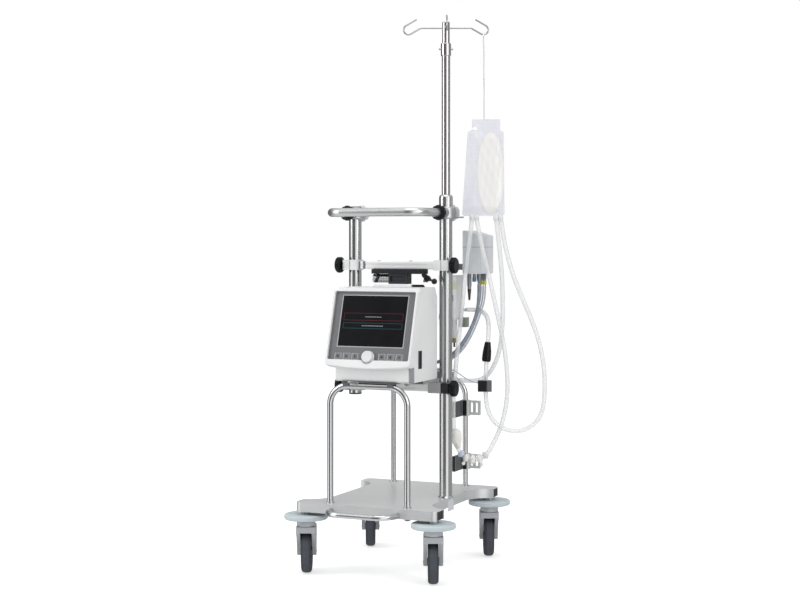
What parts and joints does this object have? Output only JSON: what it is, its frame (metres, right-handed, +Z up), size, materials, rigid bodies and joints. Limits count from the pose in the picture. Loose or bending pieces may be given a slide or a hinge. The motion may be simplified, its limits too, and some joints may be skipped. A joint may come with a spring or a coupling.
{
  "type": "extracorporeal membrane oxygenation cart",
  "caption": "Wheeled hospital cart with a tilted touch console, a hook pole, a flow sensor, a sensor box, a lung and pump unit, and hanging blood lines.",
  "frame": {"origin": "on the floor, midway between the swivel axes of the four casters", "axes": "+X to the operator's right, +Y to the back of the cart, +Z up"},
  "size_m": [0.684, 0.6464, 1.6225],
  "materials": {
    "steel": "satin stainless steel, fine drawn grain",
    "bumper_plastic": "pale blue-grey moulded bumper",
    "fork_plastic": "mid grey moulded nylon",
    "tyre_rubber": "charcoal non-marking rubber",
    "handle_grip": "light grey coated tube",
    "clamp_metal": "cast and tumbled aluminium",
    "bar_aluminium": "anodised aluminium",
    "black_plastic": "black glass-filled nylon",
    "white_plastic": "white moulded housing",
    "grey_plastic": "blue-grey keypad film",
    "screen_glass": "dark display glass",
    "box_paint": "light grey powder coat",
    "clear_plastic": "clear polycarbonate",
    "pouch_film": "thin clear bag film around a cream liner",
    "strap_cord": "white braided cord",
    "hose_pvc": "clear soft tubing",
    "cable_jacket": "grey soft cable jacket"
  },
  "bodies": {
    "cart": {"base_plate": "steel", "base_beams": "steel", "pull_hoop": "steel", "caster_mounts": "bumper_plastic", "front_hoop": "steel", "rear_hoop": "steel", "main_column": "steel", "side_column": "steel", "pole_tube": "steel", "handle_bar": "handle_grip", "handle_clamps": "clamp_metal", "cross_bars": "bar_aluminium", "bar_jaws": "bar_aluminium", "dock": "black_plastic", "support_tray": "steel", "console_shell": "white_plastic", "key_panel": "grey_plastic", "screen_glass": "screen_glass", "console_electronics": "grey_plastic", "sensor_box": "box_paint", "module_arms": "clamp_metal", "membrane_lung": "clear_plastic", "pump_drive": "box_paint", "pump_head": "clear_plastic", "holder_brackets": "clamp_metal", "bridge_hose": "hose_pvc", "drain_hose": "hose_pvc", "return_hose": "hose_pvc", "main_cable": "cable_jacket", "probe_cable": "cable_jacket", "flow_cable": "cable_jacket", "line_fittings": "white_plastic", "flow_sensor": "black_plastic"},
    "fork_fl": {"caster_fork_fl": "fork_plastic"},
    "wheel_fl": {"caster_wheel_fl": "tyre_rubber"},
    "fork_fr": {"caster_fork_fr": "fork_plastic"},
    "wheel_fr": {"caster_wheel_fr": "tyre_rubber"},
    "fork_rl": {"caster_fork_rl": "fork_plastic"},
    "wheel_rl": {"caster_wheel_rl": "tyre_rubber"},
    "fork_rr": {"caster_fork_rr": "fork_plastic"},
    "wheel_rr": {"caster_wheel_rr": "tyre_rubber"},
    "hook_pole": {"hook_pole": "steel", "pouch": "pouch_film", "pouch_strap": "strap_cord"},
    "clamp_knob_ul": {"clamp_knob_ul": "black_plastic"},
    "clamp_knob_ur": {"clamp_knob_ur": "black_plastic"},
    "clamp_knob_ll": {"clamp_knob_ll": "black_plastic"},
    "clamp_knob_lr": {"clamp_knob_lr": "black_plastic"},
    "handle_knob_left": {"handle_knob_left": "clamp_metal"},
    "handle_knob_right": {"handle_knob_right": "clamp_metal"},
    "dock_lever": {"dock_lever": "black_plastic"},
    "menu_knob": {"menu_knob": "white_plastic"},
    "key_1": {"key_1": "grey_plastic"},
    "key_2": {"key_2": "grey_plastic"},
    "key_3": {"key_3": "grey_plastic"},
    "key_4": {"key_4": "grey_plastic"},
    "key_5": {"key_5": "grey_plastic"},
    "key_6": {"key_6": "grey_plastic"},
    "sensor_lid": {"sensor_lid": "grey_plastic"},
    "pump_impeller": {"pump_impeller": "white_plastic"}
  },
  "joints": [
    {"name": "swivel_fl", "type": "hinge", "parent": "cart", "child": "fork_fl", "pos_m": [-0.2, -0.2245, 0.14], "axis": [0, 0, 1], "continuous": true},
    {"name": "roll_fl", "type": "hinge", "parent": "fork_fl", "child": "wheel_fl", "pos_m": [-0.21595, -0.18782, 0.0625], "axis": [0.9171, 0.3987, 0], "continuous": true},
    {"name": "swivel_fr", "type": "hinge", "parent": "cart", "child": "fork_fr", "pos_m": [0.2, -0.2245, 0.14], "axis": [0, 0, 1], "continuous": true},
    {"name": "roll_fr", "type": "hinge", "parent": "fork_fr", "child": "wheel_fr", "pos_m": [0.18405, -0.18782, 0.0625], "axis": [0.9171, 0.3987, 0], "continuous": true},
    {"name": "swivel_rl", "type": "hinge", "parent": "cart", "child": "fork_rl", "pos_m": [-0.2, 0.2245, 0.14], "axis": [0, 0, 1], "continuous": true},
    {"name": "roll_rl", "type": "hinge", "parent": "fork_rl", "child": "wheel_rl", "pos_m": [-0.21595, 0.26118, 0.0625], "axis": [0.9171, 0.3987, 0], "continuous": true},
    {"name": "swivel_rr", "type": "hinge", "parent": "cart", "child": "fork_rr", "pos_m": [0.2, 0.2245, 0.14], "axis": [0, 0, 1], "continuous": true},
    {"name": "roll_rr", "type": "hinge", "parent": "fork_rr", "child": "wheel_rr", "pos_m": [0.18405, 0.26118, 0.0625], "axis": [0.9171, 0.3987, 0], "continuous": true},
    {"name": "pole_height", "type": "slide", "parent": "cart", "child": "hook_pole", "axis": [0, 0, 1], "range_m": [0, 0.4]},
    {"name": "clamp_screw_ul", "type": "hinge", "parent": "cart", "child": "clamp_knob_ul", "pos_m": [-0.186, -0.03, 0.899], "axis": [-1, 0, 0], "range_deg": [0, 720]},
    {"name": "clamp_screw_ur", "type": "hinge", "parent": "cart", "child": "clamp_knob_ur", "pos_m": [0.186, -0.03, 0.899], "axis": [1, 0, 0], "range_deg": [0, 720]},
    {"name": "clamp_screw_ll", "type": "hinge", "parent": "cart", "child": "clamp_knob_ll", "pos_m": [-0.186, -0.03, 0.54], "axis": [-1, 0, 0], "range_deg": [0, 720]},
    {"name": "clamp_screw_lr", "type": "hinge", "parent": "cart", "child": "clamp_knob_lr", "pos_m": [0.186, -0.03, 0.54], "axis": [1, 0, 0], "range_deg": [0, 720]},
    {"name": "handle_screw_left", "type": "hinge", "parent": "cart", "child": "handle_knob_left", "pos_m": [-0.147, 0.04, 1.0535], "axis": [0, 1, 0], "range_deg": [0, 720]},
    {"name": "handle_screw_right", "type": "hinge", "parent": "cart", "child": "handle_knob_right", "pos_m": [0.147, 0.04, 1.0535], "axis": [0, 1, 0], "range_deg": [0, 720]},
    {"name": "dock_release", "type": "hinge", "parent": "cart", "child": "dock_lever", "pos_m": [0.109, -0.052, 0.861], "axis": [0, 1, 0], "range_deg": [-70, 0], "stiffness_Nm_per_rad": 0.2},
    {"name": "menu_turn", "type": "hinge", "parent": "cart", "child": "menu_knob", "pos_m": [0.003, -0.23331, 0.6395], "axis": [0, -0.9558, 0.294], "continuous": true},
    {"name": "press_key_1", "type": "slide", "parent": "cart", "child": "key_1", "axis": [0, 0.9558, -0.294], "range_m": [0, 0.001], "stiffness_N_per_m": 900},
    {"name": "press_key_2", "type": "slide", "parent": "cart", "child": "key_2", "axis": [0, 0.9558, -0.294], "range_m": [0, 0.001], "stiffness_N_per_m": 900},
    {"name": "press_key_3", "type": "slide", "parent": "cart", "child": "key_3", "axis": [0, 0.9558, -0.294], "range_m": [0, 0.001], "stiffness_N_per_m": 900},
    {"name": "press_key_4", "type": "slide", "parent": "cart", "child": "key_4", "axis": [0, 0.9558, -0.294], "range_m": [0, 0.001], "stiffness_N_per_m": 900},
    {"name": "press_key_5", "type": "slide", "parent": "cart", "child": "key_5", "axis": [0, 0.9558, -0.294], "range_m": [0, 0.001], "stiffness_N_per_m": 900},
    {"name": "press_key_6", "type": "slide", "parent": "cart", "child": "key_6", "axis": [0, 0.9558, -0.294], "range_m": [0, 0.001], "stiffness_N_per_m": 900},
    {"name": "sensor_lid_hinge", "type": "hinge", "parent": "cart", "child": "sensor_lid", "pos_m": [0.24814, 0.06472, 0.544], "axis": [0, 0, 1], "range_deg": [0, 100]},
    {"name": "impeller_spin", "type": "hinge", "parent": "cart", "child": "pump_impeller", "pos_m": [0.104, 0.105, 0.553], "axis": [1, 0, 0], "continuous": true}
  ]
}
